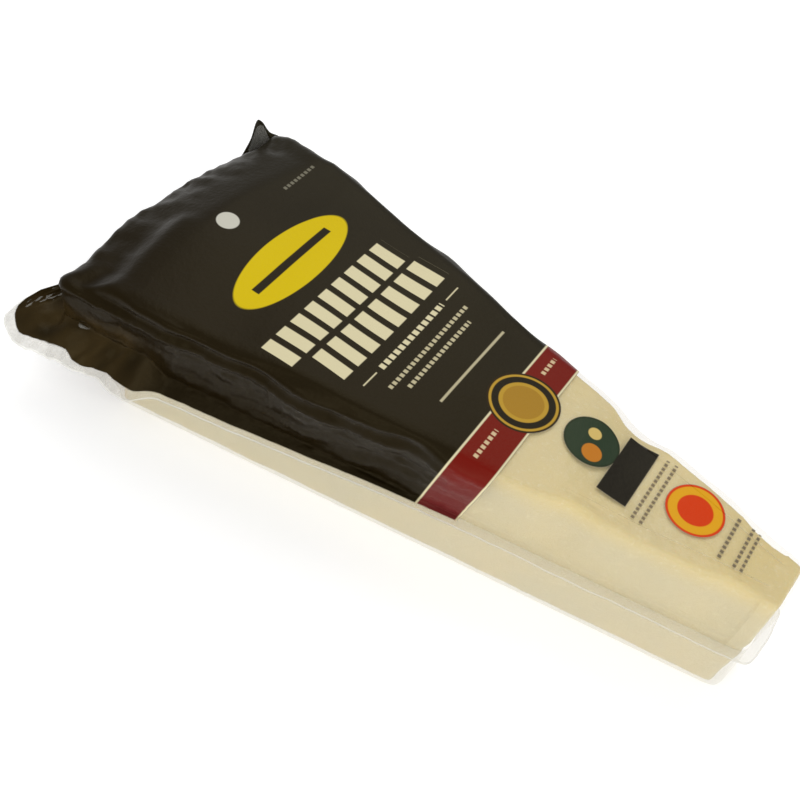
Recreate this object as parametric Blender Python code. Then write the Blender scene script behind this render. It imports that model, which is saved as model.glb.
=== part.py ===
"""Vacuum pack round a wedge of hard cheese, lying flat.

One closed solid: the outer form of the shut pack. The frame is in metres with
+Z up, +X from the wide rind end to the narrow tip, and the origin in the
middle of the box on the surface the pack rests on.

The form is a loft. Every ring is the same wedge outline, near side, tip, far
side and rind end, pushed outward by that ring's own offsets. From the bottom
up the rings are the flat base, the lower film, the seal flange that sticks out
at mid height, the upper film, the top edge with the film tented over the rind,
and the top.
"""

import math

import bmesh
import bpy
from mathutils import Vector

MM = 0.001

# ---- driving sizes, in millimetres ----
LENGTH = 172.6  # rind corner line to the cut end of the tip
NEAR_AT_RIND = -40.0  # the long sides' distance from the axis at the rind
FAR_AT_RIND = 42.8
NEAR_AT_TIP = -7.8
FAR_AT_TIP = 8.4
RIND_BULGE = 4.6  # how far the rind's arc stands out in its middle
CORE = 6.0  # the corners are drawn round points this far inside two sides
HEIGHT_RIND = 41.7
HEIGHT_TIP = 40.4
BASE_INSET = 1.0
SEAL_Z = 18.4  # the height at which the flange leaves the sides
FLANGE = 0.8  # thickness of the two films sealed together
FLANGE_NEAR = 5.4  # flange width along the near side at the rind
FLANGE_TIP = 2.4
FLANGE_FAR = 4.0
FLANGE_REAR = 23.4
FLANGE_DROP = 3.0  # how far the free edge of the flange hangs down
TENT_OUT = 16.4  # the film stands off the rind this far
TENT_DROP = 6.4
EAR_NEAR = 4.6  # extra flange at the corners of the rind end
EAR_FAR = 3.4
EAR_NEAR_LIFT = 2.8  # the ears are bent up, the far one more
EAR_FAR_LIFT = 13.0
SPIKE_UP = 4.5  # one corner of film sticks up on the far ear
SPIKE_AT = 0.61  # how far round the corner it is
SPIKE_WIDTH = 0.12
NOTCH_AT = 123.0  # a dip in the far top edge
NOTCH_DEPTH = 2.6
NOTCH_HALF = 9.0

# ---- stations round the outline ----
N_SIDE = 34
N_TIP = 3
N_TIP_CORNER = 6
N_REAR_CORNER = 9
N_REAR = 16

NAME = "cheese_pack"


def smooth(t):
    t = min(1.0, max(0.0, t))
    return t * t * (3.0 - 2.0 * t)


def mix(a, b, t):
    return a + (b - a) * t


def unit(angle):
    return Vector((math.cos(angle), math.sin(angle)))


class Side:
    """One straight side of the wedge: a start, an end and the outward normal."""

    def __init__(self, start, end):
        self.start, self.end = Vector(start), Vector(end)
        along = (self.end - self.start).normalized()
        self.normal = Vector((along.y, -along.x))

    def point(self, s, out):
        return self.start.lerp(self.end, s) + self.normal * out


def inner_corner(side_a, side_b, inset):
    """The centre of the rounded corner between two sides."""
    a, b = side_a.normal, side_b.normal
    da = a.dot(side_a.start) - inset
    db = b.dot(side_b.start) - inset
    det = a.x * b.y - a.y * b.x
    return Vector(((da * b.y - db * a.y) / det, (a.x * db - b.x * da) / det))


NEAR = Side((0.0, NEAR_AT_RIND), (LENGTH, NEAR_AT_TIP))
TIP = Side((LENGTH, NEAR_AT_TIP), (LENGTH + 0.4, FAR_AT_TIP))
FAR = Side((LENGTH, FAR_AT_TIP), (0.0, FAR_AT_RIND))
REAR = Side((0.0, FAR_AT_RIND), (0.0, NEAR_AT_RIND))
SIDES = (NEAR, TIP, FAR, REAR)
CENTRES = tuple(
    inner_corner(SIDES[k], SIDES[(k + 1) % 4], CORE) for k in range(4)
)


def arc_bulge(s):
    return RIND_BULGE * (1.0 - (2.0 * s - 1.0) ** 2)


def station(kind, k, s, offsets, power):
    """Plan point of a ring. kind is "side" or "corner", k its number and s how
    far along it, and offsets are the ring's four outward offsets there."""
    if kind == "side":
        a, b = CENTRES[k - 1], CENTRES[k]
        side = SIDES[k]
        foot = a.lerp(b, s)
        out = CORE + offsets[k]
        if k == 3:
            out += arc_bulge(s)
        return foot + side.normal * out
    first, second = SIDES[k], SIDES[(k + 1) % 4]
    turn0 = math.atan2(first.normal.y, first.normal.x)
    turn1 = math.atan2(second.normal.y, second.normal.x)
    while turn1 < turn0:
        turn1 += 2.0 * math.pi
    ray = unit(mix(turn0, turn1, s))
    ca = max(0.0, ray.dot(first.normal)) / (CORE + offsets[k])
    cb = max(0.0, ray.dot(second.normal)) / (CORE + offsets[(k + 1) % 4])
    return CENTRES[k] + ray * (ca**power + cb**power) ** (-1.0 / power)


def stations():
    """(kind, number, share) of every station, once round the outline."""
    found = []
    for k in range(4):
        count = (N_SIDE, N_TIP, N_SIDE, N_REAR)[k]
        found += [("side", k, i / count) for i in range(count)]
        count = (N_TIP_CORNER, N_TIP_CORNER, N_REAR_CORNER, N_REAR_CORNER)[k]
        found += [("corner", k, i / count) for i in range(count)]
    return found


def weights(kind, k, s):
    """How far along the length this station is, how much of the rind end's
    form it takes, and how much of each ear."""
    if kind == "side":
        along = {0: s, 1: 1.0, 2: 1.0 - s, 3: 0.0}[k]
        rear = 1.0 if k == 3 else 0.0
        near = far = 0.0
        if k == 0:
            near = smooth(1.0 - s / 0.05)
        elif k == 2:
            far = smooth((s - 0.88) / 0.12)
        elif k == 3:
            near = smooth((s - 0.86) / 0.14)
        return along, rear, near, far
    if k == 2:
        return 0.0, smooth(s), 0.0, 1.0 - smooth((s - 0.6) / 0.4)
    if k == 3:
        return 0.0, smooth(1.0 - s), 1.0, 0.0
    return 1.0, 0.0, 0.0, 0.0


def top_height(x):
    return mix(HEIGHT_RIND, HEIGHT_TIP, min(1.0, max(0.0, x / LENGTH)))


def unevenness(x, y):
    """The cheese was broken and cut by hand, so nothing on it is quite flat."""
    return (
        0.45 * math.sin(0.071 * x + 0.9) * math.cos(0.11 * y)
        + 0.30 * math.sin(0.163 * x + 0.07 * y + 2.0)
    )


def notch(x):
    return max(0.0, 1.0 - ((x - NOTCH_AT) / NOTCH_HALF) ** 2) ** 1.5


def ring(name):
    points = []
    for kind, k, s in stations():
        along, rear, near, far = weights(kind, k, s)
        wave = 0.7 * math.sin(23.0 * along + 1.0) + 0.4 * math.sin(51.0 * along)
        wave *= smooth(along / 0.08) if k in (0, 2) else 0.0
        flange = [
            mix(FLANGE_NEAR, FLANGE_TIP, smooth(along / 0.6)) + EAR_NEAR * near,
            FLANGE_TIP + 0.9,
            FLANGE_FAR + EAR_FAR * far,
            FLANGE_REAR + 4.4 * near + 3.4 * far,
        ]
        table = {
            # offsets near, tip, far, rear; height on the sides; at the rind
            "base": ((-BASE_INSET,) * 4, 0.0, 0.0),
            "base_edge": ((0.4, 0.2, 0.3, 0.2), 1.4, 1.4),
            "lower": ((0.0, 0.3, 0.0, 5.5), 9.0, 8.0),
            "root_below": (
                (0.5, 1.0, 0.5, 17.0),
                SEAL_Z - FLANGE / 2,
                SEAL_Z - FLANGE / 2,
            ),
            "edge_below": (flange, None, None),
            "edge_above": (flange, None, None),
            "root_above": (
                (0.5, 1.0, 0.5, 18.0),
                SEAL_Z + FLANGE / 2,
                SEAL_Z + FLANGE / 2 + 0.4,
            ),
            "upper": ((0.4, 0.3, 0.3, 17.2), 28.0, 26.0),
            "shoulder": ((1.5, 0.6, 1.0, TENT_OUT + 0.9), -5.2, -9.0),
            "ridge": ((1.2, 0.2, 0.9, TENT_OUT), -2.0, -TENT_DROP),
            "tent": ((-0.3, -1.2, -0.3, 0.5 * TENT_OUT), -0.5, -0.46 * TENT_DROP),
            "top_edge": ((-2.2, -2.8, -2.2, -0.6), 0.0, -0.3),
            "top_inner": ((-5.2, -4.8, -5.2, -5.2), 0.0, 0.0),
        }
        offsets, z_side, z_rear = table[name]
        power = 6.0 if rear > 0.0 or name.startswith("edge") else 4.5
        flat = station(kind, k, s, offsets, power)
        if name.startswith("edge"):
            z = SEAL_Z - mix(FLANGE_DROP, 0.8, smooth(along / 0.6)) * (1.0 - rear)
            z += EAR_FAR_LIFT * far
            if (kind, k) == ("corner", 2):
                z += SPIKE_UP * math.exp(-(((s - SPIKE_AT) / SPIKE_WIDTH) ** 2))
            if (kind, k) == ("corner", 3):
                z += EAR_NEAR_LIFT * smooth(1.0 - abs(s - 0.3) / 0.45)
            z += FLANGE / 2 if name == "edge_above" else -FLANGE / 2
        elif name in ("shoulder", "ridge", "tent", "top_edge", "top_inner"):
            top = top_height(flat.x)
            z = top + mix(z_side, z_rear, rear)
            if k == 2 and kind == "side":
                dip = NOTCH_DEPTH * notch(flat.x)
                z -= dip * (0.4 if name == "top_inner" else 1.0)
            if name != "shoulder":
                z += unevenness(flat.x, flat.y)
        else:
            z = mix(z_side, z_rear, rear)
        if kind == "side" and k in (0, 2) and name in ("upper", "shoulder", "ridge"):
            flat += SIDES[k].normal * wave
        if name in ("upper", "root_above", "root_below") and far > 0.0:
            z += (0.34 if name == "upper" else 0.42) * EAR_FAR_LIFT * far
        points.append(Vector((flat.x, flat.y, z)))
    return points


def loft(names):
    """Rings of equal length joined by quads, with a cap at each end."""
    form = bmesh.new()
    rings = [[form.verts.new(p) for p in ring(name)] for name in names]
    for low, high in zip(rings, rings[1:]):
        for i in range(len(low)):
            j = (i + 1) % len(low)
            form.faces.new((low[i], low[j], high[j], high[i]))
    form.faces.new(list(reversed(rings[0])))
    top = form.faces.new(rings[-1])
    bmesh.ops.triangulate(form, faces=[top], ngon_method="BEAUTY")
    bmesh.ops.recalc_face_normals(form, faces=form.faces)
    return form


def main():
    for old in list(bpy.data.objects):
        bpy.data.objects.remove(old, do_unlink=True)

    form = loft(
        (
            "base",
            "base_edge",
            "lower",
            "root_below",
            "edge_below",
            "edge_above",
            "root_above",
            "upper",
            "shoulder",
            "ridge",
            "tent",
            "top_edge",
            "top_inner",
        )
    )
    lows = [min(v.co[axis] for v in form.verts) for axis in range(3)]
    highs = [max(v.co[axis] for v in form.verts) for axis in range(3)]
    middle = Vector(((lows[0] + highs[0]) / 2, (lows[1] + highs[1]) / 2, lows[2]))
    bmesh.ops.translate(form, verts=form.verts, vec=-middle)
    bmesh.ops.scale(form, verts=form.verts, vec=(MM, MM, MM))

    mesh = bpy.data.meshes.new(NAME)
    form.to_mesh(mesh)
    form.free()
    mesh.shade_smooth()
    mesh.set_sharp_from_angle(angle=math.radians(35))

    film = bpy.data.materials.new("printed_film")
    film.use_nodes = True
    shader = film.node_tree.nodes["Principled BSDF"]
    shader.inputs["Base Color"].default_value = (0.028, 0.020, 0.012, 1.0)
    shader.inputs["Roughness"].default_value = 0.32
    mesh.materials.append(film)

    pack = bpy.data.objects.new(NAME, mesh)
    home = bpy.data.collections.new("cheese_pack_parts")
    bpy.context.scene.collection.children.link(home)
    home.objects.link(pack)


main()
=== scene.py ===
"""Looks for the vacuum pack with a wedge of hard cheese in it.

The film and the cheese are grids drawn from the same wedge outline as the
solid: rings round the wedge, each pushed out by its own offsets, with a smooth
curve from ring to ring, then folds, creases and grain pushed along the normal.
The film's print is worked out from the film's own unfolded coordinates.
"""

import math

import bpy
import numpy as np
from mathutils import Matrix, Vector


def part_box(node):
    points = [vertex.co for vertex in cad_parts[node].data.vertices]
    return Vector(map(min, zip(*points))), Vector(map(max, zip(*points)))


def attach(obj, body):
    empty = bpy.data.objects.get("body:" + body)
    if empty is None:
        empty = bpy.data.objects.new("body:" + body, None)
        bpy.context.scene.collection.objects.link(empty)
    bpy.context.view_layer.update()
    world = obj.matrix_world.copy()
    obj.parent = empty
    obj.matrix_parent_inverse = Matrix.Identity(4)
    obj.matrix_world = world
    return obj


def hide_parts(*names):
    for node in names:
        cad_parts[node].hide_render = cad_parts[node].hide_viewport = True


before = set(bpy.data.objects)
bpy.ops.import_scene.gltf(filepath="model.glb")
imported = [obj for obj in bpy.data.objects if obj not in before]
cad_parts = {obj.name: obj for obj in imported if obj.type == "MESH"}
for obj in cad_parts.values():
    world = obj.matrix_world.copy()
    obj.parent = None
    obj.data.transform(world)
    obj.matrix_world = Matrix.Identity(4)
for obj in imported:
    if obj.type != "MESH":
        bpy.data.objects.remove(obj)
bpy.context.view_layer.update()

MM = 0.001
LENGTH = 172.6
NEAR_AT_RIND, FAR_AT_RIND = -40.0, 42.8
NEAR_AT_TIP, FAR_AT_TIP = -7.8, 8.4
RIND_BULGE = 4.6
CORE = 6.0
HEIGHT_RIND, HEIGHT_TIP = 41.7, 40.4
SEAL_Z = 18.4
HALF_FILM = 0.16
FLANGE_NEAR, FLANGE_TIP, FLANGE_FAR, FLANGE_REAR = 5.4, 2.4, 4.0, 23.4
FLANGE_DROP = 3.0
TENT_OUT, TENT_DROP = 16.4, 6.4
EAR_NEAR, EAR_FAR = 4.6, 3.4
EAR_NEAR_LIFT, EAR_FAR_LIFT = 2.8, 13.0
NOTCH_AT, NOTCH_DEPTH, NOTCH_HALF = 123.0, 1.6, 9.0
RAW_LOW_X = -28.0  # the solid's rear edge in this frame
RAW_LOW_Y = -52.841
PRINT_SKEW = 0.031  # the print sits a little askew on the wedge
PRINT_END = 101.6

# the near ear: a flap that turns round its hinge, highest at the rind, longest at its point
NEAR_HINGE = (-8.0, -42.0)
NEAR_FLAP = 8.0
NEAR_REACH = 15.0
NEAR_POINT = 0.17
NEAR_WIDTH = 0.17
NEAR_TURN = (180.0, 340.0)
NEAR_TOP, NEAR_FOOT, NEAR_FALL = 33.0, 15.2, 0.16
# the far ear: a bowed edge between two ends, with one corner of film sticking up
FAR_START, FAR_END = (-9.5, 54.0), (-21.0, 35.0)
FAR_BOW = 3.5
FAR_LOW, FAR_HIGH = 29.0, 34.0
SPIKE_AT, SPIKE_WIDTH, SPIKE_OUT, SPIKE_UP = 0.74, 0.12, 3.5, 4.5
NEAR_EAR_SPAN = (-30, 20)  # stations either side of the middle of the corner
FAR_EAR_SPAN = (-22, 26)

# points round the outline: along a long side, across an end
N_LONG, N_END = 250, 96


def smooth(t):
    t = np.clip(t, 0.0, 1.0)
    return t * t * (3.0 - 2.0 * t)


def mix(a, b, t):
    return a + (b - a) * t


def srgb(r, g, b):
    def one(v):
        v /= 255.0
        return v / 12.92 if v <= 0.04045 else ((v + 0.055) / 1.055) ** 2.4

    return (one(r), one(g), one(b), 1.0)


# ---------------------------------------------------------------- noise

def lattice(i, j, k, seed):
    n = (i * 374761393 + j * 668265263 + k * 2147483647 + seed * 974711) & 0xFFFFFFFF
    n = ((n ^ (n >> 13)) * 1274126177) & 0xFFFFFFFF
    n = (n ^ (n >> 16)) & 0xFFFFFFFF
    return n / 4294967295.0 * 2.0 - 1.0


def noise(points, size, seed=0, stretch=(1.0, 1.0, 1.0)):
    """Smooth noise from -1 to 1 with features of that size in millimetres."""
    q = points / (size * np.array(stretch))
    base = np.floor(q).astype(np.int64)
    part = q - base
    part = part * part * (3.0 - 2.0 * part)
    total = np.zeros(len(points))
    for a in (0, 1):
        for b in (0, 1):
            for c in (0, 1):
                share = (
                    (part[:, 0] if a else 1 - part[:, 0])
                    * (part[:, 1] if b else 1 - part[:, 1])
                    * (part[:, 2] if c else 1 - part[:, 2])
                )
                total += share * lattice(base[:, 0] + a, base[:, 1] + b, base[:, 2] + c, seed)
    return total


def crumple(points, size, seed, count=5):
    """Flat facets meeting in sharp creases, from -1 to 1, as in crushed film."""
    spin = np.random.default_rng(seed)
    warp = np.stack([noise(points, size * 2.2, seed + n) for n in range(3)], 1)
    q = points + warp * size * 0.45
    total = np.zeros(len(points))
    weight = 0.0
    for n in range(count):
        way = spin.normal(size=3)
        way /= np.linalg.norm(way)
        length = size * (0.7 + 0.9 * spin.random())
        t = q @ way / length + spin.random()
        share = 1.0 / (1.0 + 0.35 * n)
        total += share * (4.0 * np.abs(t - np.floor(t) - 0.5) - 1.0)
        weight += share
    return total / weight


# ---------------------------------------------------------------- outline

class Side:
    def __init__(self, start, end):
        self.start, self.end = np.array(start, float), np.array(end, float)
        along = (self.end - self.start) / np.linalg.norm(self.end - self.start)
        self.normal = np.array((along[1], -along[0]))


def inner_corner(side_a, side_b, inset):
    a, b = side_a.normal, side_b.normal
    da, db = a @ side_a.start - inset, b @ side_b.start - inset
    det = a[0] * b[1] - a[1] * b[0]
    return np.array(((da * b[1] - db * a[1]) / det, (a[0] * db - b[0] * da) / det))


SIDES = (
    Side((0.0, NEAR_AT_RIND), (LENGTH, NEAR_AT_TIP)),
    Side((LENGTH, NEAR_AT_TIP), (LENGTH + 0.4, FAR_AT_TIP)),
    Side((LENGTH, FAR_AT_TIP), (0.0, FAR_AT_RIND)),
    Side((0.0, FAR_AT_RIND), (0.0, NEAR_AT_RIND)),
)
CENTRES = [inner_corner(SIDES[k], SIDES[(k + 1) % 4], CORE) for k in range(4)]


def station_point(kind, k, s, offsets, power):
    if kind == "side":
        foot = mix(CENTRES[k - 1], CENTRES[k], s)
        out = CORE + offsets[k]
        if k == 3:
            out += RIND_BULGE * (1.0 - (2.0 * s - 1.0) ** 2)
        return foot + SIDES[k].normal * out
    first, second = SIDES[k].normal, SIDES[(k + 1) % 4].normal
    turn0 = math.atan2(first[1], first[0])
    turn1 = math.atan2(second[1], second[0])
    while turn1 < turn0:
        turn1 += 2.0 * math.pi
    angle = mix(turn0, turn1, s)
    ray = np.array((math.cos(angle), math.sin(angle)))
    ca = max(0.0, ray @ first) / (CORE + offsets[k])
    cb = max(0.0, ray @ second) / (CORE + offsets[(k + 1) % 4])
    return CENTRES[k] + ray * (ca**power + cb**power) ** (-1.0 / power)


def run(before, k, after, count, share):
    """Half a corner, a side and half a corner, as count points."""
    found = []
    for i in range(count):
        t = i / count
        if t < share:
            found.append(("corner", before, 0.5 + 0.5 * t / share))
        elif t < 1.0 - share:
            found.append(("side", k, (t - share) / (1.0 - 2.0 * share)))
        else:
            found.append(("corner", after, 0.5 * (t - 1.0 + share) / share))
    return found


STATIONS = (
    run(3, 0, 0, N_LONG, 0.07)
    + run(0, 1, 1, N_END, 0.34)
    + run(1, 2, 2, N_LONG, 0.07)
    + run(2, 3, 3, N_END, 0.20)
)
ROUND = len(STATIONS)


def weights(kind, k, s):
    if kind == "side":
        along = {0: s, 1: 1.0, 2: 1.0 - s, 3: 0.0}[k]
        rear = 1.0 if k == 3 else 0.0
        near = far = 0.0
        if k == 0:
            near = smooth(1.0 - s / 0.05)
        elif k == 2:
            far = smooth((s - 0.88) / 0.12)
        elif k == 3:
            near = smooth((s - 0.86) / 0.14)
        return along, rear, near, far
    if k == 2:
        return 0.0, smooth(s), 0.0, 1.0 - smooth((s - 0.6) / 0.4)
    if k == 3:
        return 0.0, smooth(1.0 - s), 1.0, 0.0
    return 1.0, 0.0, 0.0, 0.0


WEIGHTS = np.array([[float(v) for v in weights(*st)] for st in STATIONS])


def top_height(x):
    return mix(HEIGHT_RIND, HEIGHT_TIP, np.clip(x / LENGTH, 0.0, 1.0))


def unevenness(x, y):
    return 0.45 * np.sin(0.071 * x + 0.9) * np.cos(0.11 * y) + 0.30 * np.sin(
        0.163 * x + 0.07 * y + 2.0
    )


def notch(x):
    return np.maximum(0.0, 1.0 - ((x - NOTCH_AT) / NOTCH_HALF) ** 2) ** 1.5


TABLE = {
    # offsets near, tip, far, rear; height on the sides; height at the rind
    "base": ((-1.0, -1.0, -1.0, -1.0), 0.05, 0.05),
    "base_edge": ((0.4, 0.2, 0.3, 0.2), 1.4, 1.4),
    "lower": ((0.0, 0.3, 0.0, 5.5), 9.0, 8.0),
    "root_below": ((-0.6, 0.0, -0.6, 17.0), SEAL_Z - HALF_FILM, SEAL_Z - HALF_FILM),
    "edge_below": (None, None, None),
    "edge_above": (None, None, None),
    "root_above": ((-0.6, 0.0, -0.6, 18.0), SEAL_Z + HALF_FILM, SEAL_Z + HALF_FILM),
    "upper": ((0.4, 0.3, 0.3, 17.2), 28.0, 26.0),
    "shoulder": ((1.5, 0.6, 1.0, TENT_OUT + 0.9), -5.2, -9.0),
    "ridge": ((1.2, 0.2, 0.9, TENT_OUT), -2.0, -TENT_DROP),
    "tent": ((-0.3, -1.2, -0.3, 0.5 * TENT_OUT), -0.5, -0.46 * TENT_DROP),
    "top_edge": ((-2.2, -2.8, -2.2, -0.6), 0.0, -0.3),
    "top_inner": ((-5.2, -4.8, -5.2, -5.2), 0.0, 0.0),
}
HIGH_RINGS = ("shoulder", "ridge", "tent", "top_edge", "top_inner")


def ring(name):
    offsets, z_side, z_rear = TABLE[name]
    points = np.empty((ROUND, 3))
    for i, (kind, k, s) in enumerate(STATIONS):
        along, rear, near, far = WEIGHTS[i]
        if name.startswith("edge"):
            offsets = (
                mix(FLANGE_NEAR, FLANGE_TIP, smooth(along / 0.6)) + EAR_NEAR * near,
                FLANGE_TIP + 0.3,
                FLANGE_FAR + EAR_FAR * far,
                FLANGE_REAR + 4.4 * near + 3.4 * far,
            )
        power = 6.0 if rear > 0.0 or name.startswith("edge") else 4.5
        flat = station_point(kind, k, s, offsets, power)
        if name.startswith("edge"):
            z = SEAL_Z - mix(FLANGE_DROP, 0.8, smooth(along / 0.6)) * (1.0 - rear)
            z += EAR_FAR_LIFT * far
            if (kind, k) == ("corner", 3):
                z += EAR_NEAR_LIFT * smooth(1.0 - abs(s - 0.3) / 0.45)
            z += HALF_FILM if name == "edge_above" else -HALF_FILM
        elif name in HIGH_RINGS:
            z = top_height(flat[0]) + mix(z_side, z_rear, rear)
            if k == 2 and kind == "side":
                z -= NOTCH_DEPTH * notch(flat[0]) * (0.4 if name == "top_inner" else 1.0)
            if name != "shoulder":
                z += unevenness(flat[0], flat[1])
        else:
            z = mix(z_side, z_rear, rear)
        if kind == "side" and k in (0, 2) and name in ("upper", "shoulder", "ridge"):
            wave = 0.7 * math.sin(23.0 * along + 1.0) + 0.4 * math.sin(51.0 * along)
            flat = flat + SIDES[k].normal * wave * smooth(along / 0.08)
        if name in ("upper", "root_above", "root_below") and far > 0.0:
            z += (0.34 if name == "upper" else 0.42) * EAR_FAR_LIFT * far
        if name.startswith("root"):
            z += 5.0 * near
        points[i] = (flat[0], flat[1], z)
    if name.startswith("edge"):
        up = HALF_FILM if name == "edge_above" else -HALF_FILM
        bend_to(points, near_ear, 0, NEAR_EAR_SPAN, up)
        bend_to(points, far_ear, 2 * N_LONG + N_END, FAR_EAR_SPAN, up)
    return points


def near_ear(t):
    """The near ear's free edge, from the rind (0) to the long side (1)."""
    angle = math.radians(mix(NEAR_TURN[0], NEAR_TURN[1], t))
    reach = NEAR_FLAP + NEAR_REACH * math.exp(-(((t - NEAR_POINT) / NEAR_WIDTH) ** 2))
    reach += 5.0 * smooth((t - 0.75) / 0.25)
    return (
        NEAR_HINGE[0] + reach * math.cos(angle),
        NEAR_HINGE[1] + reach * math.sin(angle),
        NEAR_FOOT + (NEAR_TOP - NEAR_FOOT) * math.exp(-t / NEAR_FALL),
    )


def far_ear(t):
    """The far ear's free edge, from the long side (0) to the rind (1)."""
    across = np.array(FAR_END) - np.array(FAR_START)
    away = np.array((across[1], -across[0])) / np.linalg.norm(across)
    spike = math.exp(-(((t - SPIKE_AT) / SPIKE_WIDTH) ** 2))
    flat = np.array(FAR_START) + across * t + away * (
        FAR_BOW * math.sin(math.pi * t) + SPIKE_OUT * spike
    )
    return (flat[0], flat[1], mix(FAR_LOW, FAR_HIGH, smooth(t * 1.4)) + SPIKE_UP * spike)


def bend_to(points, shape, middle, span, up):
    """Leads the stations of the span along the ear's edge, easing in and out."""
    count = span[1] - span[0]
    for n in range(count + 1):
        t = n / count
        target = np.array(shape(t))
        target[2] += up
        ease = smooth(min(t, 1.0 - t) / 0.12)
        i = (middle + span[0] + n) % ROUND
        points[i] = mix(points[i], target, ease)


def curve(rings, counts):
    """Rows between the rings: a smooth curve through all of them."""
    rows = []
    for n in range(len(rings) - 1):
        p0 = rings[max(0, n - 1)]
        p1, p2 = rings[n], rings[n + 1]
        p3 = rings[min(len(rings) - 1, n + 2)]
        for i in range(counts[n]):
            t = i / counts[n]
            rows.append(
                0.5
                * (
                    2 * p1
                    + (p2 - p0) * t
                    + (2 * p0 - 5 * p1 + 4 * p2 - p3) * t * t
                    + (3 * p1 - p0 - 3 * p2 + p3) * t**3
                )
            )
    rows.append(rings[-1])
    return rows


def straight(a, b, count):
    return [mix(a, b, i / count) for i in range(count)]


def cap(edge, start, level):
    """The inside of a closed ring as a grid between its four sides. Returns
    the new points and the faces; start is the index of the first new point and
    the ring's own points are the ROUND before it."""
    first = start - ROUND
    grid = np.zeros((N_LONG + 1, N_END + 1), int)
    for i in range(N_LONG + 1):
        grid[i, 0] = i
        grid[i, N_END] = 2 * N_LONG + N_END - i
    for j in range(N_END + 1):
        grid[0, j] = (2 * N_LONG + 2 * N_END - j) % ROUND
        grid[N_LONG, j] = N_LONG + j
    u = np.linspace(0, 1, N_LONG + 1)[1:-1, None, None]
    v = np.linspace(0, 1, N_END + 1)[None, 1:-1, None]

    def patch(values):
        near, far = values[grid[1:-1, 0]][:, None], values[grid[1:-1, -1]][:, None]
        rear, tip = values[grid[0, 1:-1]][None], values[grid[-1, 1:-1]][None]
        c00, c01 = values[grid[0, 0]], values[grid[0, -1]]
        c10, c11 = values[grid[-1, 0]], values[grid[-1, -1]]
        return (
            mix(near, far, v)
            + mix(rear, tip, u)
            - mix(mix(c00, c01, v), mix(c10, c11, v), u)
        )

    inner = patch(edge).reshape(-1, 3)
    if level is not None:
        rest = edge.copy()
        rest[:, 2] -= level(edge[:, 0], edge[:, 1])
        inner[:, 2] = patch(rest).reshape(-1, 3)[:, 2] + level(inner[:, 0], inner[:, 1])
    index = grid + first
    index[1:-1, 1:-1] = start + np.arange(len(inner)).reshape(N_LONG - 1, N_END - 1)
    faces = np.stack(
        [index[:-1, :-1], index[1:, :-1], index[1:, 1:], index[:-1, 1:]], -1
    ).reshape(-1, 4)
    return inner, faces


def tube(rows):
    n = len(rows)
    i = np.arange((n - 1) * ROUND).reshape(n - 1, ROUND)
    j = np.roll(i, -1, axis=1)
    return np.stack([i, j, j + ROUND, i + ROUND], -1).reshape(-1, 4)


def normals(points, faces):
    a, b, c, d = (points[faces[:, n]] for n in range(4))
    flat = np.cross(c - a, d - b)
    total = np.zeros_like(points)
    for n in range(4):
        np.add.at(total, faces[:, n], flat)
    return total / np.maximum(np.linalg.norm(total, axis=1, keepdims=True), 1e-12)


def spread(values, count):
    """Station values repeated for every row."""
    return np.tile(values, count)


LEVEL = lambda x, y: top_height(x) + unevenness(x, y)


def print_place(points):
    """The unfolded film: how far from the rind and how far across, in mm."""
    x, y, z = points[:, 0], points[:, 1], points[:, 2]
    down = np.clip(LEVEL(x, y) - z, 0.0, 60.0)
    lean = np.where(y < 0, 0.22, 0.18)
    return np.stack([x + PRINT_SKEW * y + lean * down, y, down], 1)


# ---------------------------------------------------------------- meshes

def to_frame(points):
    low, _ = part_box("cheese_pack")
    shift = np.array((RAW_LOW_X - low.x / MM, RAW_LOW_Y - low.y / MM, 0.0))
    return (points - shift) * MM


def make(name, points, faces, attributes=(), smooth_shading=True):
    mesh = bpy.data.meshes.new(name)
    placed = to_frame(points)
    mesh.from_pydata([tuple(p) for p in placed], [], [tuple(int(i) for i in f) for f in faces])
    mesh.update()
    for label, values in attributes:
        layer = mesh.attributes.new(label, "FLOAT_VECTOR", "POINT")
        layer.data.foreach_set("vector", np.ascontiguousarray(values, np.float32).ravel())
    if smooth_shading:
        mesh.shade_smooth()
    item = bpy.data.objects.new(name, mesh)
    bpy.context.scene.collection.objects.link(item)
    return item


def flange_shape(points, rows, edge, root):
    """How the two sealed films are crumpled together: the same for both."""
    count = rows * ROUND
    near, far = (np.tile(WEIGHTS[:, n], rows) for n in (2, 3))
    # the ears' crumpling reaches a little past the ears
    for_ear = np.zeros(ROUND)
    for middle, span in ((0, NEAR_EAR_SPAN), (2 * N_LONG + N_END, FAR_EAR_SPAN)):
        gap = np.abs((np.arange(ROUND) - middle - sum(span) / 2 + ROUND / 2) % ROUND - ROUND / 2)
        for_ear = np.maximum(for_ear, smooth(1.5 - gap / 24.0))
    ear = np.tile(for_ear, rows)
    row = np.repeat(np.arange(rows), ROUND)
    on_flange = smooth((14.5 - row) / 4.0)
    flat = points[:count] * (1.0, 1.0, 0.0)
    lift = on_flange * (0.18 + 1.7 * ear) * crumple(flat, 9.0, 31)
    lift += on_flange * 0.55 * ear * crumple(flat, 3.6, 32)
    wide = np.tile(edge - root, (rows, 1))
    wide[:, 2] = 0.0
    wide /= np.maximum(np.linalg.norm(wide, axis=1, keepdims=True), 1e-6)
    rim = np.tile(edge, (rows, 1)) * (1.0, 1.0, 0.0)
    share = smooth(1.0 - row / 14.0)
    wander = (0.35 + 0.9 * ear) * (0.5 * noise(rim, 7.0, 61) + 0.35 * noise(rim, 2.6, 62))
    moved = wide * (wander * share)[:, None]
    moved[:, 2] += lift
    whole = np.zeros_like(points)
    whole[:count] = moved
    return whole, on_flange, ear


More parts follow.
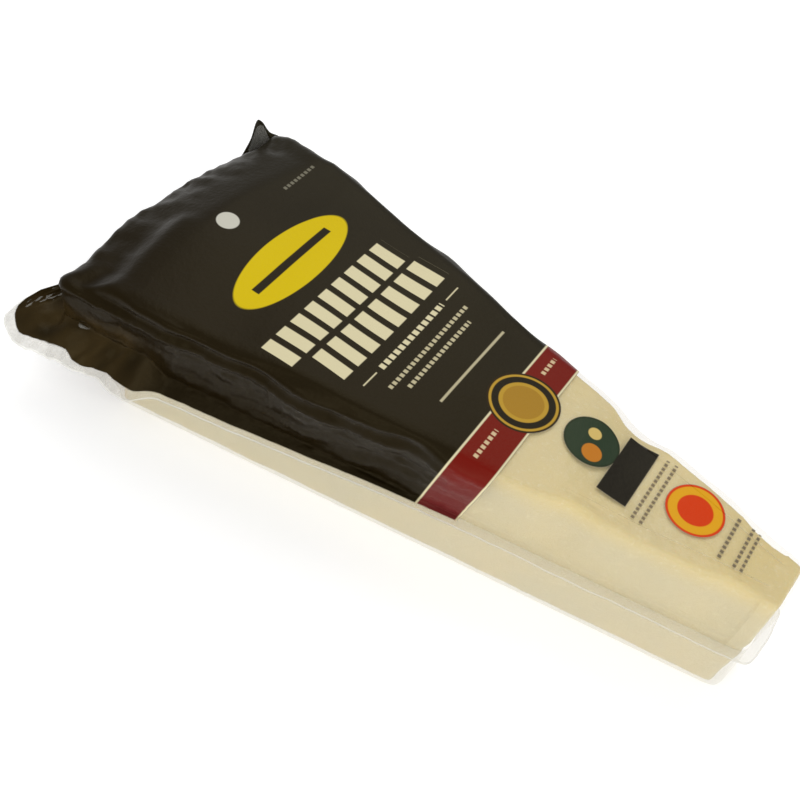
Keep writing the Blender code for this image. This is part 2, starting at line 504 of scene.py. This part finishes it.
def upper_film():
    rings = {n: ring(n) for n in TABLE}
    flange = straight(rings["edge_above"], rings["root_above"], 14)
    wall = curve(
        [rings[n] for n in ("root_above", "upper", *HIGH_RINGS)], (9, 9, 5, 6, 5, 4)
    )
    rows = flange + wall
    points = np.concatenate(rows)
    faces = tube(rows)
    inner, lid = cap(rows[-1], len(points), LEVEL)
    points = np.concatenate([points, inner])
    faces = np.concatenate([faces, lid])

    edge = np.tile(rings["edge_above"], (len(rows), 1))
    from_edge = np.full(len(points), 60.0)
    from_edge[: len(rows) * ROUND] = np.linalg.norm(points[: len(rows) * ROUND] - edge, axis=1)
    inside = len(points) - len(rows) * ROUND
    rear = np.concatenate([spread(WEIGHTS[:, 1], len(rows)), np.zeros(inside)])
    moved, on_flange, ear = flange_shape(points, len(rows), rings["edge_above"], rings["root_above"])
    on_flange = np.concatenate([on_flange, np.zeros(inside)])
    ear = np.concatenate([ear, np.zeros(inside)])
    place = print_place(points)
    dark = smooth((PRINT_END + 4.0 - place[:, 0]) / 8.0)
    down = place[:, 2]
    wall = smooth((down - 1.2) / 3.0) * (1.0 - on_flange)
    near_side = smooth((-points[:, 1] - 2.0) / 6.0)

    out = normals(points, faces)
    push = 0.08 * noise(points, 9.0, 3) + 0.03 * noise(points, 3.2, 4)
    folds = 1.0 - np.abs(noise(points, 5.0, 11, (5.0, 1.6, 0.55)))
    push += wall * dark * (0.55 * (folds - 0.6) + 0.45 * crumple(points, 8.0, 21))
    push += wall * dark * 0.34 * crumple(points, 3.8, 23)
    push += wall * (1.0 - dark) * (0.16 * crumple(points, 7.0, 22) + 0.10 * crumple(points, 3.0, 24))
    push += wall * ear * 0.8 * crumple(points, 9.0, 31)
    # the film stands in a ridge along the near top edge, with a fold below it
    run_x = points[:, 0]
    wander = 0.9 * noise(points, 12.0, 55, (1.0, 99.0, 99.0))
    ridge = near_side * dark * (1.0 - 0.7 * smooth((run_x - 60.0) / 30.0))
    push += ridge * 0.75 * np.exp(-(((down - 2.0 - wander) / 0.8) ** 2))
    push -= ridge * 0.60 * np.exp(-(((down - 4.2 - wander) / 1.0) ** 2))
    push += ridge * 0.80 * np.exp(-(((down - 6.8 - 1.6 * wander) / 0.9) ** 2))
    push = np.where(wall * dark > 0.3, np.maximum(push, -0.85), np.maximum(push, -0.22))
    points = points + out * push[:, None] + moved
    points[:, 2] = np.maximum(points[:, 2], 0.1)

    by_near = np.concatenate([spread(WEIGHTS[:, 2], len(rows)), np.zeros(inside)])
    by_far = np.concatenate([spread(WEIGHTS[:, 3], len(rows)), np.zeros(inside)])
    hem = 1.7 + 1.3 * by_near - 1.7 * by_far - 1.7 * rear * (1.0 - by_near)
    hem += 0.6 * noise(points, 4.0, 71) * by_near
    # the ear's film is lighter where no cheese backs it, and its crumple facets are painted lighter and darker:
    # painted facet shading
    painted_facet_shade = 0.5 + 0.9 * crumple(points * (1.0, 1.0, 0.4), 8.0, 31)
    ear_tone_and_facet_shade = ear * smooth((down - 9.0) / 6.0) * np.clip(0.25 + painted_facet_shade, 0.0, 1.3)
    edge_hem_and_ear_shade = np.stack([from_edge, hem, np.clip(ear_tone_and_facet_shade, 0.0, 1.0)], 1)
    return make("film_top", points, faces, [("film", place), ("hem", edge_hem_and_ear_shade)])


def lower_film():
    rings = {n: ring(n) for n in TABLE}
    flange = straight(rings["edge_below"], rings["root_below"], 14)
    wall = curve([rings[n] for n in ("root_below", "lower", "base_edge", "base")], (8, 7, 4))
    rows = flange + wall
    points = np.concatenate(rows)
    faces = tube(rows)[:, ::-1]
    inner, lid = cap(rows[-1], len(points), None)
    points = np.concatenate([points, inner])
    faces = np.concatenate([faces, lid[:, ::-1]])
    out = normals(points, faces)
    moved, on_flange, _ = flange_shape(points, len(rows), rings["edge_above"], rings["root_above"])
    on_flange = np.concatenate([on_flange, np.zeros(len(inner))])
    rear = np.concatenate([spread(WEIGHTS[:, 1], len(rows)), np.zeros(len(inner))])
    free = smooth((points[:, 2] - 1.5) / 3.0) * (1.0 - on_flange)
    push = 0.05 * noise(points, 4.0, 5) * free
    push += free * (0.10 + 0.5 * rear) * crumple(points, 8.0, 81)
    push = np.maximum(push, -0.2)
    points = points + out * push[:, None] + moved
    points[:, 2] = np.maximum(points[:, 2], 0.03)
    return make("film_lower", points, faces, [("film", print_place(points))])


def cheese():
    """The wedge itself: broken and cut faces, soft edges, an arc of rind."""
    def level_ring(inset, z, round_by=0.0):
        points = np.empty((ROUND, 3))
        for i, (kind, k, s) in enumerate(STATIONS):
            d = -(inset + round_by)
            flat = station_point(kind, k, s, (d, d, d, d), 9.0)
            height = z if z is not None else 0.0
            points[i] = (flat[0], flat[1], height)
        return points

    rows = []
    steps = 30
    low, soft = 0.35, 1.6
    for n in range(steps + 1):
        t = n / steps
        # heights bunch together near both edges
        share = 0.5 - 0.5 * math.cos(math.pi * t)
        probe = level_ring(0.55, 0.0)
        top = LEVEL(probe[:, 0], probe[:, 1]) - 0.45 - 0.5 * smooth((99.0 - probe[:, 0]) / 5.0)
        for i, (kind, k, s) in enumerate(STATIONS):
            if kind == "side" and k == 2:
                top[i] -= NOTCH_DEPTH * notch(probe[i, 0])
        z = mix(low, top, share)
        near_low = 0.75 * np.clip((low + soft - z) / soft, 0.0, 1.0)
        near_top = np.clip((z - top + soft) / soft, 0.0, 1.0)
        tuck = soft * (1.0 - np.sqrt(np.maximum(0.0, 1.0 - np.maximum(near_low, near_top) ** 2)))
        points = np.empty((ROUND, 3))
        for i, (kind, k, s) in enumerate(STATIONS):
            hidden = smooth((99.0 - probe[i, 0]) / 5.0) * smooth((z[i] - 16.0) / 3.0)
            seal = 1.25 * math.exp(-(((z[i] - SEAL_Z) / 1.8) ** 2))
            seal *= 1.0 if (kind, k) in (("side", 0), ("side", 2)) else 0.5
            hollow = 0.0
            if kind == "side" and k in (0, 2):
                along = WEIGHTS[i, 0]
                wave = 0.7 * math.sin(23.0 * along + 1.0) + 0.4 * math.sin(51.0 * along)
                body = smooth((z[i] - 19.0) / 6.0)
                hollow = max(0.0, -wave) * smooth(along / 0.08) * body
            d = -(0.55 + tuck[i] + 0.9 * hidden + seal + hollow)
            tip_back = 1.6 * smooth((20.0 - z[i]) / 18.0)
            d = max(d, -5.5)
            flat = station_point(kind, k, s, (d, max(d - tip_back, -5.5), d, d), 9.0)
            points[i] = (flat[0], flat[1], z[i])
        rows.append(points)
    points = np.concatenate(rows)
    faces = tube(rows)
    lift = lambda x, y: LEVEL(x, y) - 0.45 - 0.5 * smooth((99.0 - x) / 5.0)
    top_inner, lid = cap(rows[-1], len(points), lift)
    body = np.concatenate([points, top_inner])
    faces = np.concatenate([faces, lid])
    # the underside closes on the first row
    start = len(body)
    bottom, base = cap(rows[0], ROUND, None)
    base = np.where(base >= ROUND, base - ROUND + start, base)
    points = np.concatenate([body, bottom])
    faces = np.concatenate([faces, base[:, ::-1]])
    out = normals(points, faces)
    push = 0.12 * noise(points, 6.0, 91) + 0.08 * noise(points, 2.2, 92) + 0.05 * noise(points, 1.0, 93)
    push -= 0.10
    points = points + out * np.clip(push, -0.5, 0.12)[:, None]
    points[:, 2] = np.maximum(points[:, 2], 0.12)
    rind = smooth((3.5 - points[:, 0]) / 4.0)
    # within 9 mm of the top the cheese takes the lighter, yellower top colour: painted light on the top, painted
    # shade on the sides
    top_light_share = smooth((points[:, 2] - LEVEL(points[:, 0], points[:, 1]) + 9.0) / 9.0)
    info = np.stack([top_light_share, rind, points[:, 2] / 40.0], 1)
    return make("cheese_wedge", points, faces, [("wedge", info)])


# ---------------------------------------------------------------- materials

class Graph:
    """A material's node tree, with short names for the sums it needs."""

    def __init__(self, name):
        self.material = bpy.data.materials.new(name)
        self.material.use_nodes = True
        self.tree = self.material.node_tree
        self.shader = self.tree.nodes["Principled BSDF"]

    def node(self, kind, **values):
        made = self.tree.nodes.new(kind)
        for key, value in values.items():
            setattr(made, key, value)
        return made

    def put(self, socket, value):
        if isinstance(value, bpy.types.NodeSocket):
            self.tree.links.new(value, socket)
        else:
            socket.default_value = value

    def math(self, operation, a, b=0.0, c=None, clamp=False):
        made = self.node("ShaderNodeMath", operation=operation, use_clamp=clamp)
        self.put(made.inputs[0], a)
        self.put(made.inputs[1], b)
        if c is not None:
            self.put(made.inputs[2], c)
        return made.outputs[0]

    def blend(self, a, b, t):
        made = self.node("ShaderNodeMix", data_type="RGBA")
        self.put(made.inputs[0], t)
        self.put(made.inputs[6], a)
        self.put(made.inputs[7], b)
        return made.outputs[2]

    def attribute(self, name):
        made = self.node("ShaderNodeAttribute", attribute_name=name)
        parts = self.node("ShaderNodeSeparateXYZ")
        self.tree.links.new(made.outputs["Vector"], parts.inputs[0])
        return made.outputs["Vector"], parts.outputs

    def texture(self, scale, vector, detail=3.0, rough=0.55):
        made = self.node("ShaderNodeTexNoise")
        self.put(made.inputs["Scale"], scale)
        self.put(made.inputs["Detail"], detail)
        self.put(made.inputs["Roughness"], rough)
        self.tree.links.new(vector, made.inputs["Vector"])
        return made.outputs["Fac"]

    def within(self, value, centre, half, soft=0.14):
        """1 within half of the centre, 0 outside it."""
        gap = self.math("ABSOLUTE", self.math("SUBTRACT", value, centre))
        return self.math("MULTIPLY_ADD", self.math("SUBTRACT", half, gap), 0.5 / soft, 0.5, clamp=True)

    def block(self, px, py, box):
        x0, x1, y0, y1 = box
        a = self.within(px, (x0 + x1) / 2, (x1 - x0) / 2)
        b = self.within(py, (y0 + y1) / 2, (y1 - y0) / 2)
        return self.math("MULTIPLY", a, b)

    def disc(self, px, py, cx, cy, radius, flat=1.0):
        dx = self.math("SUBTRACT", px, cx)
        dy = self.math("MULTIPLY", self.math("SUBTRACT", py, cy), flat)
        away = self.math(
            "SQRT",
            self.math("ADD", self.math("MULTIPLY", dx, dx), self.math("MULTIPLY", dy, dy)),
        )
        return self.math(
            "MULTIPLY_ADD", self.math("SUBTRACT", radius, away), 0.5 / 0.14, 0.5, clamp=True
        )

    def blocks(self, px, py, box, period, fill):
        """A row of plain blocks across the box."""
        phase = self.math("FRACT", self.math("DIVIDE", self.math("SUBTRACT", py, box[2]), period))
        bar = self.within(self.math("MULTIPLY", phase, period), fill * period / 2, fill * period / 2)
        return self.math("MULTIPLY", self.block(px, py, box), bar)


def film_material():
    g = Graph("printed_film")
    vector, (px, py, down) = g.attribute("film")
    _, (edge, hem, ear) = g.attribute("hem")
    grain = g.texture(0.05, vector, 2.0)

    brown = g.blend(srgb(27, 19, 5), srgb(36, 33, 22), g.math("MULTIPLY_ADD", py, 1 / 90, 0.42, clamp=True))
    brown = g.blend(brown, srgb(24, 17, 6), g.math("MULTIPLY", grain, 0.5))
    # lighter ear film where no cheese backs it, with painted shading of its crumple facets
    brown = g.blend(brown, srgb(78, 62, 34), g.math("MULTIPLY", ear, 0.40))
    colour = brown
    cream = srgb(225, 215, 175)
    layers = [
        (g.within(px, 96.2, 5.3), g.blend(srgb(118, 12, 5), srgb(108, 36, 36), g.math("MULTIPLY_ADD", down, 0.09, 0.1, clamp=True))),
        (g.within(px, 90.8, 0.28), cream),
        (g.within(px, 101.5, 0.28), cream),
        # wide rows of plain blocks
        (g.blocks(px, py, (36.2, 45.8, -29.0, 24.5), 5.95, 0.66), cream),
        (g.blocks(px, py, (47.6, 57.6, -23.0, 26.5), 6.19, 0.66), cream),
        (g.blocks(px, py, (61.3, 63.0, -13.0, 16.0), 2.2, 0.70), cream),
        (g.block(px, py, (62.0, 62.35, -21.0, -15.0)), cream),
        (g.block(px, py, (62.0, 62.35, 18.0, 24.0)), cream),
        (g.blocks(px, py, (66.9, 68.1, -17.0, 20.0), 1.7, 0.66), srgb(196, 186, 150)),
        (g.blocks(px, py, (70.4, 71.6, -13.5, 16.0), 1.7, 0.66), srgb(196, 186, 150)),
        (g.block(px, py, (79.2, 79.9, -12.0, 20.0)), srgb(190, 180, 146)),
        # plain yellow oval
        (g.disc(px, py, 23.2, 1.0, 8.4, 0.37), srgb(220, 192, 0)),
        (g.block(px, py, (22.0, 24.4, -15.0, 17.0)), srgb(30, 24, 12)),
        (g.disc(px, py, 2.0, -0.3, 3.2), srgb(206, 204, 190)),
        (g.blocks(px, py, (3.8, 4.9, 22.0, 36.0), 1.6, 0.66), srgb(120, 116, 100)),
        # text-free rows on the band
        (g.blocks(px, py, (94.2, 95.4, -20.0, -9.5), 1.7, 0.66), srgb(214, 190, 150)),
        (g.blocks(px, py, (94.2, 95.4, 14.5, 21.5), 1.7, 0.66), srgb(214, 190, 150)),
        # round gold and black badge
        (g.disc(px, py, 95.6, 2.7, 9.7), srgb(40, 28, 12)),
        (g.disc(px, py, 95.6, 2.7, 9.1), srgb(190, 150, 50)),
        (g.disc(px, py, 95.6, 2.7, 8.4), srgb(26, 22, 14)),
        (g.disc(px, py, 95.6, 2.7, 6.5), srgb(190, 150, 50)),
        (g.disc(px, py, 95.6, 2.7, 5.4), srgb(170, 128, 40)),
    ]
    for mask, tone in layers:
        colour = g.blend(colour, tone, mask)

    badge = g.disc(px, py, 95.6, 2.7, 9.7)
    # prints on the clear part
    marks = [
        (g.disc(px, py, 115.1, 4.0, 7.5), srgb(38, 52, 36)),
        (g.disc(px, py, 115.1, 4.0, 6.9), srgb(44, 60, 44)),
        (g.disc(px, py, 116.6, 0.9, 2.7), srgb(196, 122, 40)),
        (g.disc(px, py, 114.6, 6.6, 1.8), srgb(214, 186, 110)),
        (g.block(px, py, (122.2, 130.4, -7.3, 13.0)), srgb(30, 28, 24)),
        (g.blocks(px, py, (132.6, 133.5, -9.0, 12.5), 1.5, 0.62), srgb(126, 112, 88)),
        (g.blocks(px, py, (134.9, 135.8, -9.0, 12.5), 1.5, 0.62), srgb(126, 112, 88)),
        (g.disc(px, py, 144.6, 3.6, 7.5), srgb(216, 62, 20)),
        (g.disc(px, py, 144.6, 3.6, 6.8), srgb(228, 165, 30)),
        (g.disc(px, py, 144.6, 3.6, 4.5), srgb(215, 60, 15)),
        (g.blocks(px, py, (154.0, 155.0, -5.0, 9.2), 1.6, 0.62), srgb(120, 108, 86)),
        (g.blocks(px, py, (158.0, 158.9, -5.0, 8.6), 1.6, 0.62), srgb(120, 108, 86)),
        (g.blocks(px, py, (159.9, 160.7, -5.0, 8.2), 1.6, 0.62), srgb(120, 108, 86)),
    ]
    shown = badge
    for mask, tone in marks:
        mask = g.math("MULTIPLY", mask, g.math("LESS_THAN", down, 1.6))
        colour = g.blend(colour, tone, mask)
        shown = g.math("MAXIMUM", shown, mask)

    inked = g.math("MULTIPLY_ADD", g.math("SUBTRACT", PRINT_END + 0.2, px), 0.5 / 0.14, 0.5, clamp=True)
    hemmed = g.math("MULTIPLY_ADD", g.math("SUBTRACT", edge, hem), 0.5 / 0.2, 0.5, clamp=True)
    inked = g.math("MULTIPLY", inked, hemmed)
    solid = g.math("MAXIMUM", inked, shown)
    loose = g.math("MULTIPLY_ADD", g.math("SUBTRACT", 7.0, edge), 0.4, 0.0, clamp=True)
    # painted highlights and shade of crumpled clear film: whitish and grey-brown flecks on the loose film at the
    # ears
    painted_crumple_glint_shade = g.math("MULTIPLY_ADD", g.math("SUBTRACT", g.texture(0.30, vector, 3.0), 0.5), 2.2, 0.5, clamp=True)
    # rim is a painted highlight: a whitish, more opaque line within half a millimetre of the film's cut edge
    rim = g.math("MULTIPLY_ADD", g.math("SUBTRACT", 0.45, edge), 4.0, 0.5, clamp=True)
    clear = g.blend(srgb(222, 211, 180), g.blend(srgb(158, 150, 130), srgb(228, 225, 214), painted_crumple_glint_shade), g.math("MULTIPLY", loose, g.math("MULTIPLY_ADD", ear, 1.4, 0.0, clamp=True)))
    rumpled = g.math("MULTIPLY", loose, g.math("MULTIPLY_ADD", ear, 1.4, 0.0, clamp=True))
    clear = g.blend(clear, srgb(244, 242, 232), rim)
    see = g.math("MULTIPLY_ADD", rumpled, 0.26, g.math("MULTIPLY_ADD", loose, 0.04, 0.12))
    see = g.math("MAXIMUM", see, g.math("MULTIPLY", rim, 0.6))
    g.put(g.shader.inputs["Base Color"], g.blend(clear, colour, solid))
    g.put(g.shader.inputs["Alpha"], g.math("MAXIMUM", solid, see))
    g.put(g.shader.inputs["Roughness"], g.math("MULTIPLY_ADD", solid, 0.14, 0.20))
    g.put(g.shader.inputs["Specular IOR Level"], g.math("MULTIPLY_ADD", solid, -0.48, 0.6))
    g.put(g.shader.inputs["Specular Tint"], g.blend((1.0, 1.0, 1.0, 1.0), (1.0, 0.84, 0.50, 1.0), solid))
    bump = g.node("ShaderNodeBump")
    g.put(bump.inputs["Strength"], 0.25)
    g.put(bump.inputs["Distance"], 0.0004)
    g.put(bump.inputs["Height"], g.texture(0.8, vector, 4.0))
    g.put(g.shader.inputs["Normal"], bump.outputs[0])
    return g.material


def clear_material():
    g = Graph("clear_film")
    vector, _ = g.attribute("film")
    g.put(g.shader.inputs["Base Color"], srgb(232, 230, 220))
    g.put(g.shader.inputs["Roughness"], 0.16)
    g.put(g.shader.inputs["Alpha"], 0.20)
    bump = g.node("ShaderNodeBump")
    g.put(bump.inputs["Strength"], 0.25)
    g.put(bump.inputs["Distance"], 0.0004)
    g.put(bump.inputs["Height"], g.texture(0.9, vector, 3.0))
    g.put(g.shader.inputs["Normal"], bump.outputs[0])
    return g.material


def cheese_material():
    g = Graph("cheese")
    where = g.node("ShaderNodeTexCoord").outputs["Object"]
    _, (top_light_share, rind, high) = g.attribute("wedge")
    broad = g.texture(38.0, where, 3.0)
    grain = g.texture(900.0, where, 5.0, 0.7)
    patches = g.math("MULTIPLY_ADD", g.math("SUBTRACT", broad, 0.5), 2.4, 0.5, clamp=True)
    # the top is painted lighter and yellower and the sides greyer: painted light on the top, painted shade on
    # the sides
    lid = g.blend(srgb(222, 204, 150), srgb(228, 206, 138), patches)
    side = g.blend(srgb(208, 197, 160), srgb(217, 201, 155), patches)
    base = g.blend(side, lid, top_light_share)
    base = g.blend(base, srgb(240, 230, 192), g.math("MULTIPLY_ADD", g.math("SUBTRACT", grain, 0.56), 3.0, 0.0, clamp=True))
    base = g.blend(base, srgb(202, 158, 88), rind)
    g.put(g.shader.inputs["Base Color"], base)
    g.put(g.shader.inputs["Roughness"], 0.5)
    g.put(g.shader.inputs["Coat Weight"], 0.45)
    g.put(g.shader.inputs["Coat Roughness"], 0.14)
    g.put(g.shader.inputs["Subsurface Weight"], 0.12)
    g.put(g.shader.inputs["Subsurface Radius"], (0.006, 0.004, 0.002))
    g.put(g.shader.inputs["Subsurface Scale"], 1.0)
    bump = g.node("ShaderNodeBump")
    g.put(bump.inputs["Strength"], 0.5)
    g.put(bump.inputs["Distance"], 0.0005)
    g.put(bump.inputs["Height"], grain)
    g.put(g.shader.inputs["Normal"], bump.outputs[0])
    drawn = g.node("ShaderNodeBump")
    g.put(drawn.inputs["Strength"], 0.55)
    g.put(drawn.inputs["Distance"], 0.0012)
    g.put(drawn.inputs["Height"], g.texture(210.0, where, 2.0, 0.5))
    g.put(g.shader.inputs["Coat Normal"], drawn.outputs[0])
    return g.material


# ---------------------------------------------------------------- scene

def floor():
    mesh = bpy.data.meshes.new("floor")
    half = 20.0
    mesh.from_pydata(
        [(-half, -half, 0), (half, -half, 0), (half, half, 0), (-half, half, 0)], [], [(0, 1, 2, 3)]
    )
    item = bpy.data.objects.new("floor", mesh)
    bpy.context.scene.collection.objects.link(item)
    g = Graph("floor")
    g.put(g.shader.inputs["Base Color"], (0.9, 0.9, 0.9, 1.0))
    g.put(g.shader.inputs["Roughness"], 0.8)
    g.put(g.shader.inputs["Emission Color"], (1.0, 1.0, 1.0, 1.0))
    g.put(g.shader.inputs["Emission Strength"], 0.35)
    mesh.materials.append(g.material)


def light(name, place, size, power, aim=(0.0, 0.0, 0.02)):
    lamp = bpy.data.lights.new(name, "AREA")
    lamp.shape = "RECTANGLE"
    lamp.size, lamp.size_y = size
    lamp.energy = power
    item = bpy.data.objects.new(name, lamp)
    from mathutils import Vector

    item.location = place
    item.rotation_euler = (Vector(aim) - Vector(place)).to_track_quat("-Z", "Y").to_euler()
    bpy.context.scene.collection.objects.link(item)


def camera():
    right = (0.80660229, 0.56561193, 0.17168541)
    down = (0.53050694, -0.56462145, -0.63226972)
    ahead = (-0.26068203, 0.60107051, -0.75548602)
    place = to_frame(np.array([[146.0108, -188.8026, 255.3518]]))[0]
    lens = bpy.data.cameras.new("camera")
    lens.lens, lens.sensor_width = 52.366, 36.0
    lens.clip_start, lens.clip_end = 0.01, 20.0
    lens.dof.use_dof = False
    item = bpy.data.objects.new("camera", lens)
    item.matrix_world = Matrix(
        [
            (right[0], -down[0], -ahead[0], place[0]),
            (right[1], -down[1], -ahead[1], place[1]),
            (right[2], -down[2], -ahead[2], place[2]),
            (0.0, 0.0, 0.0, 1.0),
        ]
    )
    bpy.context.scene.collection.objects.link(item)
    bpy.context.scene.camera = item


def main():
    wedge = cheese()
    top = upper_film()
    under = lower_film()
    for item, material, name in (
        (wedge, cheese_material(), "cheese"),
        (top, film_material(), "printed_film"),
        (under, clear_material(), "clear_film"),
    ):
        item.data.materials.append(material)
        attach(item, "root")
        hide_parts("cheese_pack")
    floor()
    light("key", (-0.25, 0.55, 0.9), (0.7, 0.7), 2.4)
    light("glint", (-0.10, -0.42, 0.95), (0.16, 0.16), 0.6)
    light("fill", (0.5, -0.7, 0.6), (0.9, 0.9), 4.0)
    world = bpy.data.worlds.new("studio")
    world.use_nodes = True
    world.node_tree.nodes["Background"].inputs[0].default_value = (1.0, 1.0, 1.0, 1.0)
    world.node_tree.nodes["Background"].inputs[1].default_value = 0.52
    bpy.context.scene.world = world
    bpy.context.scene.view_settings.view_transform = "Standard"
    camera()


main()
